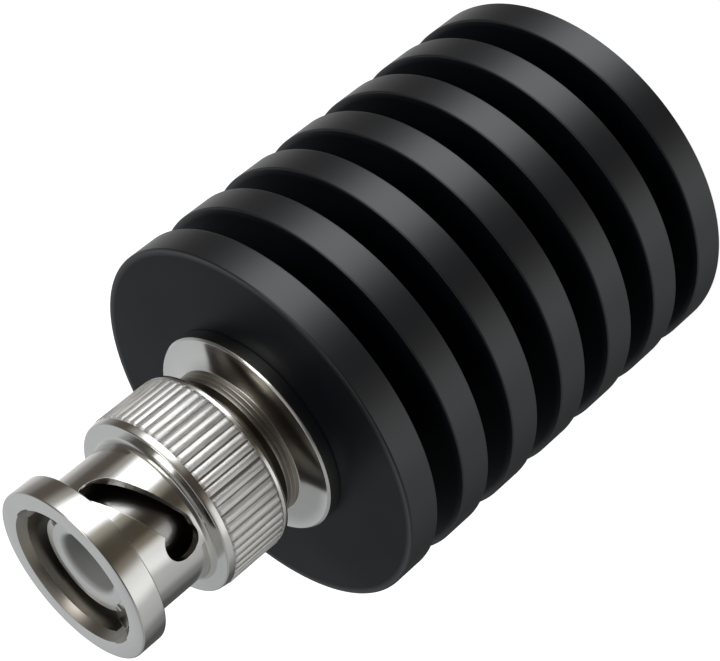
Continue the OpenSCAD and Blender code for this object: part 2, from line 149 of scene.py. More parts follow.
class Finishes(bpy.types.PropertyGroup):
    """Colours of the finishes"""

    anodised: colour("Anodised", "Black anodised aluminium", (0.0035, 0.0050, 0.0082))
    nickel: colour("Nickel", "Bright nickel plate", (0.70, 0.688, 0.665))
    satin_nickel: colour("Satin nickel", "Nickel plate on the knurl", (0.95, 0.92, 0.86))
    insulator: colour("Insulator", "Waxy plastic of the insulators", (0.84, 0.85, 0.86))
    gold: colour("Gold", "Gold plate of the centre pin", (0.83, 0.58, 0.24))
    brass: colour("Brass", "Turned brass", (0.66, 0.47, 0.20))
    silver: colour("Silver", "Silver plate of the end caps", (0.80, 0.78, 0.73))
    steel: colour("Steel", "Spring steel of the washers", (0.55, 0.54, 0.52))
    gasket: colour("Gasket", "Soft gasket", (0.20, 0.035, 0.022))
    ceramic: colour("Ceramic", "White ceramic", (0.78, 0.76, 0.70))
    film: colour("Film", "Dark resistive film", (0.045, 0.032, 0.026))


class StageSettings(bpy.types.PropertyGroup):
    """Camera, floor and light"""

    lens: FloatProperty(name="Lens", description="Focal length", default=114.98, unit="CAMERA")
    floor_white: FloatProperty(
        name="Floor glow", description="White that the floor shows before light falls on it", default=0.86
    )
    key_power: FloatProperty(
        name="Key power", description="Power of the key lamp", default=0.32, unit="POWER"
    )


class DummyLoad(bpy.types.PropertyGroup):
    """Everything that a user would change"""

    sink: PointerProperty(type=SinkSizes)
    plug: PointerProperty(type=PlugSizes)
    finish: PointerProperty(type=Finishes)
    stage: PointerProperty(type=StageSettings)


# Node helpers


def group_socket(tree, name, way, kind, default=None):
    socket = tree.interface.new_socket(name=name, in_out=way, socket_type=kind)
    if default is not None:
        socket.default_value = default
    return socket


def fill(node, values):
    """Sets a node's inputs by their names"""
    for name, value in values.items():
        node.inputs[name].default_value = value


def math_node(nodes, operation, second=None):
    node = nodes.new("ShaderNodeMath")
    node.operation = operation
    if second is not None:
        node.inputs[1].default_value = second
    return node


def map_range(nodes, low, high):
    node = nodes.new("ShaderNodeMapRange")
    fill(node, {"From Min": low, "From Max": high})
    return node


def colour_mix(nodes, blend="MIX"):
    node = nodes.new("ShaderNodeMix")
    node.data_type = "RGBA"
    node.blend_type = blend
    return node


# Shared shader groups


def turned_marks():
    """Fine rings that a lathe tool leaves, read along radius and height"""
    name = "Turned marks"
    tree = bpy.data.node_groups.get(name)
    if tree:
        return tree
    tree = bpy.data.node_groups.new(name, "ShaderNodeTree")
    group_socket(tree, "Lines", "INPUT", "NodeSocketFloat", 9000.0)
    for put_out in ("Height", "Radius"):
        group_socket(tree, put_out, "OUTPUT", "NodeSocketFloat")
    nodes, links = tree.nodes, tree.links
    given = nodes.new("NodeGroupInput")
    out = nodes.new("NodeGroupOutput")
    coords = nodes.new("ShaderNodeTexCoord")
    split = nodes.new("ShaderNodeSeparateXYZ")
    flat = nodes.new("ShaderNodeCombineXYZ")
    radius = nodes.new("ShaderNodeVectorMath")
    radius.operation = "LENGTH"
    along = math_node(nodes, "ADD")
    scaled = math_node(nodes, "MULTIPLY")
    noise = nodes.new("ShaderNodeTexNoise")
    noise.noise_dimensions = "1D"
    fill(noise, {"Scale": 1.0, "Detail": 3.0})
    links.new(coords.outputs["Object"], split.inputs[0])
    links.new(split.outputs["X"], flat.inputs["X"])
    links.new(split.outputs["Y"], flat.inputs["Y"])
    links.new(flat.outputs[0], radius.inputs[0])
    links.new(radius.outputs["Value"], along.inputs[0])
    links.new(split.outputs["Z"], along.inputs[1])
    links.new(along.outputs[0], scaled.inputs[0])
    links.new(given.outputs["Lines"], scaled.inputs[1])
    links.new(scaled.outputs[0], noise.inputs["W"])
    links.new(noise.outputs["Fac"], out.inputs["Height"])
    links.new(radius.outputs["Value"], out.inputs["Radius"])
    return tree


def soft_spots():
    """Broad smudges and a fine grain, for roughness and colour"""
    name = "Soft spots"
    tree = bpy.data.node_groups.get(name)
    if tree:
        return tree
    tree = bpy.data.node_groups.new(name, "ShaderNodeTree")
    taken = {"Smudge size": 160.0, "Grain size": 9000.0, "Low": 0.2, "High": 0.3, "Stretch": 1.0}
    for put_in, default in taken.items():
        group_socket(tree, put_in, "INPUT", "NodeSocketFloat", default)
    for put_out in ("Roughness", "Smudge", "Grain"):
        group_socket(tree, put_out, "OUTPUT", "NodeSocketFloat")
    nodes, links = tree.nodes, tree.links
    given = nodes.new("NodeGroupInput")
    out = nodes.new("NodeGroupOutput")
    coords = nodes.new("ShaderNodeTexCoord")
    along = nodes.new("ShaderNodeCombineXYZ")
    fill(along, {"X": 1.0, "Y": 1.0})
    drawn = nodes.new("ShaderNodeVectorMath")
    drawn.operation = "MULTIPLY"
    smudge = nodes.new("ShaderNodeTexNoise")
    fill(smudge, {"Detail": 2.0})
    grain = nodes.new("ShaderNodeTexNoise")
    fill(grain, {"Detail": 1.0})
    spread = map_range(nodes, 0.3, 0.7)
    links.new(given.outputs["Stretch"], along.inputs["Z"])
    links.new(coords.outputs["Object"], drawn.inputs[0])
    links.new(along.outputs[0], drawn.inputs[1])
    links.new(drawn.outputs[0], smudge.inputs["Vector"])
    links.new(drawn.outputs[0], grain.inputs["Vector"])
    links.new(given.outputs["Smudge size"], smudge.inputs["Scale"])
    links.new(given.outputs["Grain size"], grain.inputs["Scale"])
    links.new(smudge.outputs["Fac"], spread.inputs["Value"])
    links.new(given.outputs["Low"], spread.inputs["To Min"])
    links.new(given.outputs["High"], spread.inputs["To Max"])
    links.new(spread.outputs["Result"], out.inputs["Roughness"])
    links.new(smudge.outputs["Fac"], out.inputs["Smudge"])
    links.new(grain.outputs["Fac"], out.inputs["Grain"])
    return tree


def finish_material(
    name, tint, metallic, rough, shade=0.12, lines=9000.0, ring_bump=0.1, grain_bump=0.05,
    grain_size=9000.0, smudge_size=160.0, edge=0.0, shine=0.5, sealed_from=0.0, stretch=1.0, shaded=None,
):
    """A surface with smudged roughness, a little colour change, lathe rings and grain

    sealed_from is the radius past which a clear coat starts, and shaded holds two radii and
    the share of the colour that is left at the inner one: painted shade, darker towards the inner radius.
    """
    name += "_finish"
    material = bpy.data.materials.get(name)
    if material:
        return material
    material = bpy.data.materials.new(name)
    material.use_nodes = True
    nodes, links = material.node_tree.nodes, material.node_tree.links
    shader = nodes["Principled BSDF"]
    fill(shader, {"Metallic": metallic, "Specular IOR Level": shine})
    spots = nodes.new("ShaderNodeGroup")
    spots.node_tree = soft_spots()
    fill(spots, {"Smudge size": smudge_size, "Grain size": grain_size, "Stretch": stretch})
    fill(spots, {"Low": rough[0], "High": rough[1]})
    links.new(spots.outputs["Roughness"], shader.inputs["Roughness"])
    tone = colour_mix(nodes)
    tone.inputs["A"].default_value = [c * (1.0 - shade) for c in tint] + [1.0]
    tone.inputs["B"].default_value = [min(1.0, c * (1.0 + shade)) for c in tint] + [1.0]
    links.new(spots.outputs["Smudge"], tone.inputs["Factor"])
    links.new(tone.outputs["Result"], shader.inputs["Base Color"])
    marks = nodes.new("ShaderNodeGroup")
    marks.node_tree = turned_marks()
    fill(marks, {"Lines": lines})
    rings = nodes.new("ShaderNodeBump")
    fill(rings, {"Strength": ring_bump, "Distance": BUMP_DEPTH})
    links.new(marks.outputs["Height"], rings.inputs["Height"])
    grains = nodes.new("ShaderNodeBump")
    fill(grains, {"Strength": grain_bump, "Distance": BUMP_DEPTH})
    links.new(spots.outputs["Grain"], grains.inputs["Height"])
    links.new(rings.outputs["Normal"], grains.inputs["Normal"])
    links.new(grains.outputs["Normal"], shader.inputs["Normal"])
    if sealed_from > 0.0:
        run = 0.4 * MM
        seal = map_range(nodes, sealed_from, sealed_from + run)
        fill(seal, {"To Max": 0.42})
        links.new(marks.outputs["Radius"], seal.inputs["Value"])
        links.new(seal.outputs["Result"], shader.inputs["Coat Weight"])
        fill(shader, {"Coat Roughness": 0.36, "Coat IOR": 1.95})
    # Painted shade: the colour is multiplied down towards the inner radius, standing in for shade in a
    # recess
    if shaded:
        inner, outer, share = shaded
        dim = map_range(nodes, inner, outer)
        fill(dim, {"To Min": share})
        links.new(marks.outputs["Radius"], dim.inputs["Value"])
        darker = colour_mix(nodes, "MULTIPLY")
        fill(darker, {"Factor": 1.0})
        links.new(tone.outputs["Result"], darker.inputs["A"])
        links.new(dim.outputs["Result"], darker.inputs["B"])
        links.new(darker.outputs["Result"], shader.inputs["Base Color"])
    if edge > 0.0:
        bevel = nodes.new("ShaderNodeBevel")
        bevel.samples = 6
        fill(bevel, {"Radius": edge})
        links.new(bevel.outputs["Normal"], rings.inputs["Normal"])
    return material


def anodised(finish):
    return finish_material(
        "anodised_black", finish.anodised, 0.0, (0.34, 0.42), shade=0.15, lines=7000.0, ring_bump=0.05,
        grain_bump=0.06, grain_size=14000.0, smudge_size=120.0, shine=0.1,
        sealed_from=SINK_HIGH.x - 0.6 * MM,
    )


def nickel(finish):
    return finish_material(
        "bright_nickel", finish.nickel, 1.0, (0.12, 0.18), shade=0.05, lines=12000.0, ring_bump=0.025,
        grain_bump=0.02, smudge_size=300.0, edge=0.05 * MM,
    )


def satin_nickel(finish):
    return finish_material(
        "knurl_nickel", finish.satin_nickel, 1.0, (0.45, 0.60), shade=0.25, ring_bump=0.02, grain_bump=0.6,
        grain_size=6000.0, smudge_size=2600.0, stretch=0.2,
    )


# Nickel at about half its colour: painted shade for the nut's bore, rear face and lead-in and for the neck
# behind the nut
def nickel_in_painted_shade(finish):
    tint = [share * c for share, c in zip((0.50, 0.47, 0.43), finish.nickel)]
    return finish_material("nickel_painted_shade", tint, 1.0, (0.26, 0.36), lines=5000.0, ring_bump=0.05)


# Nickel at 0.35 of its colour: painted shade on the floors of the knurl's grooves
def groove_floor_painted_shade(finish):
    tint = [0.35 * c for c in finish.nickel]
    return finish_material("groove_nickel_painted_shade", tint, 1.0, (0.45, 0.55))


# Nickel at half its colour: painted shade on the contact sleeve's side, seen through the nut's windows
def sleeve_side_painted_shade(finish):
    tint = [0.5 * c for c in finish.nickel]
    return finish_material("sleeve_nickel_painted_shade", tint, 1.0, (0.2, 0.28), ring_bump=0.05)


def spring_steel(finish):
    return finish_material("washer_steel", finish.steel, 1.0, (0.28, 0.4), edge=0.03 * MM)


# Mesh helpers


def polar(r, turn, z):
    return Vector((r * math.cos(turn), r * math.sin(turn), z))


def made_mesh(bm, name):
    """A mesh from a bmesh, which is freed"""
    mesh = bpy.data.meshes.new(name)
    bm.to_mesh(mesh)
    bm.free()
    return mesh


def arc_corner(before, corner, after, radius, steps=4):
    """Points of a round corner between two straight runs"""
    corner = Vector(corner)
    back, onward = Vector(before) - corner, Vector(after) - corner
    a, b = back.normalized(), onward.normalized()
    half = a.angle(b) / 2.0
    room = 0.45 * min(back.length, onward.length)
    reach = min(radius / math.tan(half), room)
    radius = reach * math.tan(half)
    centre = corner + (a + b).normalized() * (radius / math.sin(half))
    start = corner + a * reach - centre
    end = corner + b * reach - centre
    sweep = start.angle(end)
    points = []
    for i in range(steps + 1):
        t = sweep * i / steps
        points.append(centre + (start * math.sin(sweep - t) + end * math.sin(t)) / math.sin(sweep))
    return points


def eased(outline):
    """A closed outline of (radius, height, ease) in metres, with each corner rounded by its ease"""
    points = []
    for i, (r, z, ease) in enumerate(outline):
        before = outline[i - 1][:2]
        after = outline[(i + 1) % len(outline)][:2]
        if ease <= 0.0:
            points.append(Vector((r, z)))
        else:
            points.extend(arc_corner(before, (r, z), after, ease))
    return points


def lathe(name, outline, segments):
    """A closed outline turned once round Z, with its poles and seam closed"""
    on_axis = 1e-7
    turns = [2.0 * math.pi * i / segments for i in range(segments)]
    bm = bmesh.new()
    rings = []
    for r, z in eased(outline):
        if r < on_axis:
            rings.append([bm.verts.new((0.0, 0.0, z))])
        else:
            rings.append([bm.verts.new(polar(r, turn, z)) for turn in turns])
    for k, ring in enumerate(rings):
        other = rings[(k + 1) % len(rings)]
        if len(ring) == 1 and len(other) == 1:
            continue
        for i in range(segments):
            j = (i + 1) % segments
            if len(ring) == 1:
                bm.faces.new((ring[0], other[j], other[i]))
            elif len(other) == 1:
                bm.faces.new((ring[i], ring[j], other[0]))
            else:
                bm.faces.new((ring[i], ring[j], other[j], other[i]))
    bmesh.ops.recalc_face_normals(bm, faces=bm.faces)
    return made_mesh(bm, name)


def piece(name, mesh, material):
    obj = bpy.data.objects.new(name, mesh)
    bpy.context.scene.collection.objects.link(obj)
    mesh.materials.clear()
    mesh.materials.append(material)
    return obj


def baked(obj):
    """Replaces an object's mesh by its evaluated one and drops the modifiers"""
    bpy.context.view_layer.update()
    graph = bpy.context.evaluated_depsgraph_get()
    made = bpy.data.meshes.new_from_object(obj.evaluated_get(graph), depsgraph=graph)
    obj.modifiers.clear()
    obj.data = made
    return obj


def crisp(obj, degrees=38.0):
    """Smooth shading that stays flat on flat faces and breaks at sharp edges"""
    obj.data.shade_smooth()
    obj.data.set_sharp_from_angle(angle=math.radians(degrees))
    weights = obj.modifiers.new("Weights", "WEIGHTED_NORMAL")
    weights.keep_sharp = True
    weights.weight = 80
    return baked(obj)


def smooth_copy(node, name, material, body, degrees=30.0):
    """A merged, smoothly shaded copy that stands for a CAD node"""
    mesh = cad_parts[node].data.copy()
    bm = bmesh.new()
    bm.from_mesh(mesh)
    bmesh.ops.remove_doubles(bm, verts=bm.verts, dist=0.0005 * MM)
    bm.to_mesh(mesh)
    bm.free()
    mesh.name = name
    obj = piece(name, mesh, material)
    crisp(obj, degrees)
    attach(obj, body)
    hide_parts(node)
    return obj


def prism(bm, sections):
    """A closed strip through sections that have the same number of corners"""
    rows = [[bm.verts.new(p) for p in section] for section in sections]
    for one, two in zip(rows, rows[1:]):
        for k in range(len(one)):
            m = (k + 1) % len(one)
            bm.faces.new((one[k], one[m], two[m], two[k]))
    bm.faces.new(list(reversed(rows[0])))
    bm.faces.new(rows[-1])


def cutter(name, build):
    """A closed mesh object used once for a cut"""
    bm = bmesh.new()
    build(bm)
    bmesh.ops.triangulate(bm, faces=bm.faces)
    bmesh.ops.recalc_face_normals(bm, faces=bm.faces)
    obj = bpy.data.objects.new(name, made_mesh(bm, name))
    bpy.context.scene.collection.objects.link(obj)
    return obj


class LOAD_OT_heat_sink(bpy.types.Operator):
    """Turn the heat sink with its fins"""

    bl_idname = "load.heat_sink"
    bl_label = "Heat sink"

    def execute(self, context):
        sizes, finish = context.scene.dummy_load.sink, context.scene.dummy_load.finish
        rim, top = SINK_HIGH.x, SINK_HIGH.z
        spigot_bore, spigot_floor = 5.55 * MM, FLANGE_LOW.z
        load_bore, load_floor = 4.5 * MM, 4.0 * MM
        root_ease, edge = 0.12 * MM, sizes.fin_edge
        outline = [(0.0, 0.0, 0.0)]
        for i in range(sizes.fin_count):
            low = i * (sizes.fin_thickness + sizes.fin_gap)
            high = low + sizes.fin_thickness
            if i > 0:
                outline.append((sizes.core_radius, low, root_ease))
            outline += [
                (rim, low, edge),
                (rim, high, edge),
            ]
            if i < sizes.fin_count - 1:
                outline.append((sizes.core_radius, high, root_ease))
        outline += [
            (spigot_bore, top, 0.05 * MM),
            (spigot_bore, spigot_floor, 0.0),
            (load_bore, spigot_floor, 0.0),
            (load_bore, load_floor, 0.0),
            (0.0, load_floor, 0.0),
        ]
        obj = piece("heat_sink_body", lathe("heat_sink_body", outline, sizes.segments), anodised(finish))
        crisp(obj)
        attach(obj, "load")
        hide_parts("heat_sink")
        return {"FINISHED"}


class LOAD_OT_flange(bpy.types.Operator):
    """Turn the flared flange, its grooved neck and the nut's stop"""

    bl_idname = "load.flange"
    bl_label = "Flange"

    def execute(self, context):
        sizes, finish = context.scene.dummy_load.plug, context.scene.dummy_load.finish
        segments = context.scene.dummy_load.sink.segments
        rim, base, top = FLANGE_HIGH.x, SINK_HIGH.z, FLANGE_HIGH.z
        stem_bore, line_bore, stem = 3.65 * MM, 1.9 * MM, STEM_LOW.z
        spigot = 5.5 * MM
        neck, flare = sizes.neck_radius, base + sizes.flange_height
        neck_low = flare + sizes.flare_rise
        neck_high = neck_low + sizes.neck_length
        outline = [
            (line_bore, FLANGE_LOW.z, 0.0),
            (spigot, FLANGE_LOW.z, 0.1 * MM),
            (spigot, base, 0.0),
            (rim, base, 0.05 * MM),
            (rim, flare - sizes.flange_edge, 0.03 * MM),
            (rim - sizes.flange_edge, flare, 0.03 * MM),
        ]
        run = rim - neck - sizes.flange_edge
        arc = (run * run + sizes.flare_rise ** 2) / (2.0 * sizes.flare_rise)
        sweep = math.asin(run / arc)
        steps = 18
        for i in range(1, steps):
            t = sweep * i / steps
            outline.append((neck + run - arc * math.sin(t), flare + arc * (1.0 - math.cos(t)), 0.0))
        outline.append((neck, neck_low, 0.06 * MM))
        pitch = sizes.neck_length / (sizes.neck_rings + 1.0)
        floor = neck - sizes.neck_groove
        half_top, half_floor = 0.16 * pitch, 0.05 * pitch
        for i in range(sizes.neck_rings):
            z = neck_low + pitch * (i + 1.0)
            outline += [
                (neck, z - half_top, 0.02 * MM),
                (floor, z - half_floor, 0.01 * MM),
                (floor, z + half_floor, 0.01 * MM),
                (neck, z + half_top, 0.02 * MM),
            ]
        outline += [
            (neck, neck_high, 0.06 * MM),
            (STOP_RADIUS, neck_high, 0.03 * MM),
            (STOP_RADIUS, top, 0.05 * MM),
            (stem_bore, top, 0.05 * MM),
            (stem_bore, stem, 0.0),
            (line_bore, stem, 0.0),
        ]
        obj = piece("flange_and_neck", lathe("flange_and_neck", outline, segments), nickel(finish))
        # The neck takes the darker nickel as painted shade, where it lies in the dark behind the nut
        obj.data.materials.append(nickel_in_painted_shade(finish))
        for face in obj.data.polygons:
            face.material_index = int(face.center.z > neck_low and face.center.xy.length < neck + HAIR)
        crisp(obj)
        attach(obj, "load")
        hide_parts("flared_flange")
        return {"FINISHED"}


class LOAD_OT_nut_shell(bpy.types.Operator):
    """Turn the coupling nut and cut its two bayonet tracks"""

    bl_idname = "load.nut_shell"
    bl_label = "Coupling nut"

    def outline(self, sizes):
        rear, front = NUT_LOW.z, NUT_HIGH.z
        ridge = NUT_HIGH.x
        band, root = ridge - 0.05 * MM, ridge - sizes.ridge_depth
        shoulder = band - 0.10 * MM
        knurl = rear + sizes.knurl_start
        knurl_end = knurl + sizes.knurl_length
        barrel = rear + sizes.barrel_start
        ring = front - sizes.ring_length
        lip, lip_top = 3.75 * MM, rear + 1.1 * MM
        relief, bore = rear + sizes.rear_relief, sizes.bore_radius
        return [
            (lip, rear, 0.05 * MM),
            (STOP_RADIUS, rear, 0.0),
            (band - sizes.rear_edge, relief, 0.04 * MM),
            (band, relief + sizes.rear_edge, 0.04 * MM),
            (band, knurl, 0.05 * MM),
            (root, knurl, 0.02 * MM),
            (root, knurl_end, 0.02 * MM),
            (band, knurl_end, 0.05 * MM),
            (shoulder, barrel, 0.12 * MM),
            (sizes.barrel_radius, barrel, sizes.root_round),
            (sizes.barrel_radius, ring, 0.06 * MM),
            (sizes.ring_radius, ring, 0.14 * MM),
            (sizes.ring_radius, front, 0.13 * MM),
            (bore + sizes.lead_width, front, 0.05 * MM),
            (bore, front - sizes.lead_depth, 0.05 * MM),
            (bore, lip_top, 0.03 * MM),
            (lip, lip_top, 0.05 * MM),
        ]

    def cuts(self, sizes):
        """Cutters of the windows, detents, ramps and entry grooves, both sides in each"""
        rear, front = NUT_LOW.z, NUT_HIGH.z
        ring = front - sizes.ring_length
        detent = rear + sizes.barrel_start + sizes.detent_up
        end = detent - sizes.detent_offset
        slope = math.atan(sizes.track_lead / (2.0 * math.pi * sizes.barrel_radius))
        tall = sizes.track_width / math.cos(slope)
        past, skin, shy = 1.0 * MM, 0.15 * MM, 0.05 * MM
        inner, through = sizes.bore_radius - past, sizes.barrel_radius + past
        floor = sizes.barrel_radius - skin
        entry_floor = sizes.ring_radius - sizes.entry_wall
        sides = (sizes.detent_angle, sizes.detent_angle + math.pi)
        step = math.radians(2.0)

        def level(turn):
            return end + sizes.track_lead * turn / (2.0 * math.pi)

        def section(side, turn, low, high, reach):
            corners = ((inner, low), (reach, low), (reach, high), (inner, high))
            return [polar(r, side + turn, z) for r, z in corners]

        def windows(bm):
            round_turn = sizes.track_width / 2.0 / sizes.barrel_radius
            count = math.ceil(sizes.window_turn / step)
            turns = [sizes.window_turn * i / count for i in range(count)]
            turns += [
                sizes.window_turn + round_turn * math.sin(math.radians(a)) for a in range(0, 90, 6)
            ]
            lowest = detent - sizes.detent_radius + shy
            for side in sides:
                rows = []
                for turn in turns:
                    half = tall / 2.0
                    if turn > sizes.window_turn:
                        half *= math.sqrt(max(0.0, 1.0 - ((turn - sizes.window_turn) / round_turn) ** 2))
                    low, high = max(level(turn) - half, lowest), level(turn) + half
                    rows.append(section(side, turn, low, high, through))
                prism(bm, rows)

        def detents(bm):
            for side in sides:
                turned = Matrix.Rotation(side, 4, "Z") @ Matrix.Translation(
                    ((inner + through) / 2.0, 0.0, detent)
                ) @ Matrix.Rotation(math.pi / 2.0, 4, "Y")
                bmesh.ops.create_cone(
                    bm, cap_ends=True, segments=64, radius1=sizes.detent_radius,
                    radius2=sizes.detent_radius, depth=through - inner, matrix=turned,
                )

        def ramps(bm):
            last = sizes.track_turn + sizes.track_width / 2.0 / floor
            count = math.ceil((last - sizes.window_turn) / step)
            first = sizes.window_turn - step
            for side in sides:
                rows = []
                for i in range(count + 1):
                    turn = first + (last - first) * i / count
                    low, high = level(turn) - tall / 2.0 + shy, level(turn) + tall / 2.0 - shy
                    rows.append(section(side, turn, low, high, floor))
                prism(bm, rows)

        def entries(bm):
            half = sizes.track_width / 2.0
            spread = math.asin(half / entry_floor)
            for side in sides:
                turned = Matrix.Rotation(side + sizes.track_turn, 3, "Z")
                corners = [(inner, half), (inner, -half)]
                corners += [
                    (entry_floor * math.cos(a), entry_floor * math.sin(a))
                    for a in (spread * (i / 6.0 - 1.0) for i in range(13))
                ]
                prism(
                    bm,
                    [
                        [turned @ Vector((x, y, z)) for x, y in corners]
                        for z in (ring + skin, front + past)
                    ],
                )

        return [
            cutter("cut_windows", windows), cutter("cut_detents", detents),
            cutter("cut_ramps", ramps), cutter("cut_entries", entries),
        ]

    def execute(self, context):
        sizes, finish = context.scene.dummy_load.plug, context.scene.dummy_load.finish
        segments = context.scene.dummy_load.sink.segments
        obj = piece("nut_shell", lathe("nut_shell", self.outline(sizes), segments), nickel(finish))
        cutters = self.cuts(sizes)
        for tool in cutters:
            cut = obj.modifiers.new(tool.name, "BOOLEAN")
            cut.operation = "DIFFERENCE"
            cut.solver = "EXACT"
            cut.object = tool
        baked(obj)
        for tool in cutters:
            bpy.data.objects.remove(tool)
        if len(obj.data.polygons) < 1000:
            raise RuntimeError("the bayonet tracks could not be cut")
        obj.data.materials.clear()
        obj.data.materials.append(nickel(finish))
        obj.data.materials.append(nickel_in_painted_shade(finish))
        obj.data.materials.append(groove_floor_painted_shade(finish))
        obj.data.materials.append(satin_nickel(finish))
        inside = sizes.bore_radius + HAIR
        floor = NUT_HIGH.x - sizes.ridge_depth + HAIR
        low = NUT_LOW.z + sizes.knurl_start
        high = low + sizes.knurl_length
        rear = NUT_LOW.z + sizes.rear_relief + sizes.rear_edge
        lead, mouth = NUT_HIGH.z - sizes.lead_depth, sizes.bore_radius + sizes.lead_width
        ring, entry = NUT_HIGH.z - sizes.ring_length, sizes.ring_radius - sizes.entry_wall + HAIR
        # Bore, rear face and lead-in take the darker nickel, and the floors of the knurl's grooves a still
        # darker one: painted shade
        for face in obj.data.polygons:
            radius, z = face.center.xy.length, face.center.z
            upright = abs(face.normal.z) < 0.1
            if z > ring and inside < radius < entry and upright:
                face.material_index = 3
            elif radius < inside or z < rear or (z > lead and radius < mouth):
                face.material_index = 1
            elif low < z < high and radius < floor:
                face.material_index = 2
        crisp(obj, 33.0)
        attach(obj, "coupling_nut")
        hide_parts("coupling_nut")
        return {"FINISHED"}


class LOAD_OT_knurl(bpy.types.Operator):
    """Set the knurl's ridges round the coupling nut"""

    bl_idname = "load.knurl"
    bl_label = "Knurl"

    def ridge(self, sizes):
        """One ridge along Z at the ring's edge: crowned top, sloped flanks and eased ends"""
        top = NUT_HIGH.x
        sunk = 0.06 * MM
        root = top - sizes.ridge_depth - sunk
        pitch = 2.0 * math.pi * top / sizes.ridge_count
        low = NUT_LOW.z + sizes.knurl_start
        high = low + sizes.knurl_length
        wide, narrow, crown = 0.47 * pitch, 0.38 * pitch, 0.085 * MM
        shares = (-1.0, -0.6, -0.2, 0.2, 0.6, 1.0)
        ends = ((-0.02 * MM, 0.14 * MM), (0.12 * MM, 0.02 * MM), (0.2 * MM, 0.0))

        def section(z, drop):
            crest = [Vector((top - drop - crown * s * s, narrow * s, z)) for s in shares]
            return [Vector((root, -wide, z)), *crest, Vector((root, wide, z))]

        bm = bmesh.new()
        sections = [section(low + along, drop) for along, drop in ends]
        sections += [section(high - along, drop) for along, drop in reversed(ends)]
        prism(bm, sections)
        bmesh.ops.recalc_face_normals(bm, faces=bm.faces)
        return made_mesh(bm, "knurl_ridge")

    def tree(self):
        """Copies the given ridge round Z, a little unevenly, and gives the copies their finish"""
        tree = bpy.data.node_groups.new("Ridges round a nut", "GeometryNodeTree")
        group_socket(tree, "Geometry", "INPUT", "NodeSocketGeometry")
        group_socket(tree, "Count", "INPUT", "NodeSocketInt", 60)
        group_socket(tree, "Finish", "INPUT", "NodeSocketMaterial")
        group_socket(tree, "Sway", "INPUT", "NodeSocketFloat", 0.08)
        group_socket(tree, "Narrowest", "INPUT", "NodeSocketFloat", 0.85)
        group_socket(tree, "Geometry", "OUTPUT", "NodeSocketGeometry")
        nodes, links = tree.nodes, tree.links
        given, out = nodes.new("NodeGroupInput"), nodes.new("NodeGroupOutput")
        points = nodes.new("GeometryNodePoints")
        index = nodes.new("GeometryNodeInputIndex")
        share = math_node(nodes, "DIVIDE")
        turn = math_node(nodes, "MULTIPLY", 2.0 * math.pi)
        around = nodes.new("ShaderNodeCombineXYZ")
        less = math_node(nodes, "MULTIPLY", -1.0)
        sway = nodes.new("FunctionNodeRandomValue")
        fill(sway, {"Seed": 4})
        shifted = math_node(nodes, "ADD")
        width = nodes.new("FunctionNodeRandomValue")
        fill(width, {"Seed": 9})
        scale = nodes.new("ShaderNodeCombineXYZ")
        fill(scale, {"X": 1.0, "Z": 1.0})
        copies = nodes.new("GeometryNodeInstanceOnPoints")
        real = nodes.new("GeometryNodeRealizeInstances")
        dress = nodes.new("GeometryNodeSetMaterial")
        links.new(given.outputs["Count"], points.inputs["Count"])
        links.new(given.outputs["Sway"], less.inputs[0])
        links.new(less.outputs[0], sway.inputs[2])
        links.new(given.outputs["Sway"], sway.inputs[3])
        links.new(index.outputs["Index"], shifted.inputs[0])
        links.new(sway.outputs[1], shifted.inputs[1])
        links.new(shifted.outputs[0], share.inputs[0])
        links.new(given.outputs["Narrowest"], width.inputs[2])
        links.new(width.outputs[1], scale.inputs["Y"])
        links.new(scale.outputs[0], copies.inputs["Scale"])
        links.new(given.outputs["Count"], share.inputs[1])
        links.new(share.outputs[0], turn.inputs[0])
        links.new(turn.outputs[0], around.inputs["Z"])
        links.new(points.outputs["Points"], copies.inputs["Points"])
        links.new(given.outputs["Geometry"], copies.inputs["Instance"])
        links.new(around.outputs[0], copies.inputs["Rotation"])
        links.new(copies.outputs["Instances"], real.inputs["Geometry"])
        links.new(real.outputs["Geometry"], dress.inputs["Geometry"])
        links.new(given.outputs["Finish"], dress.inputs["Material"])
        links.new(dress.outputs["Geometry"], out.inputs["Geometry"])
        return tree

    def execute(self, context):
        sizes, finish = context.scene.dummy_load.plug, context.scene.dummy_load.finish
        metal = satin_nickel(finish)
        obj = piece("nut_knurl", self.ridge(sizes), metal)
        tree = self.tree()
        around = obj.modifiers.new("Ridges", "NODES")
        around.node_group = tree
        sockets = {s.name: s.identifier for s in tree.interface.items_tree if s.in_out == "INPUT"}
        around[sockets["Count"]] = sizes.ridge_count
        around[sockets["Finish"]] = metal
        around[sockets["Sway"]] = sizes.ridge_sway
        around[sockets["Narrowest"]] = sizes.ridge_narrowest
        baked(obj)
        if len(obj.data.polygons) < sizes.ridge_count:
            raise RuntimeError("the knurl has too few ridges")
        crisp(obj, 28.0)
        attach(obj, "coupling_nut")
        return {"FINISHED"}


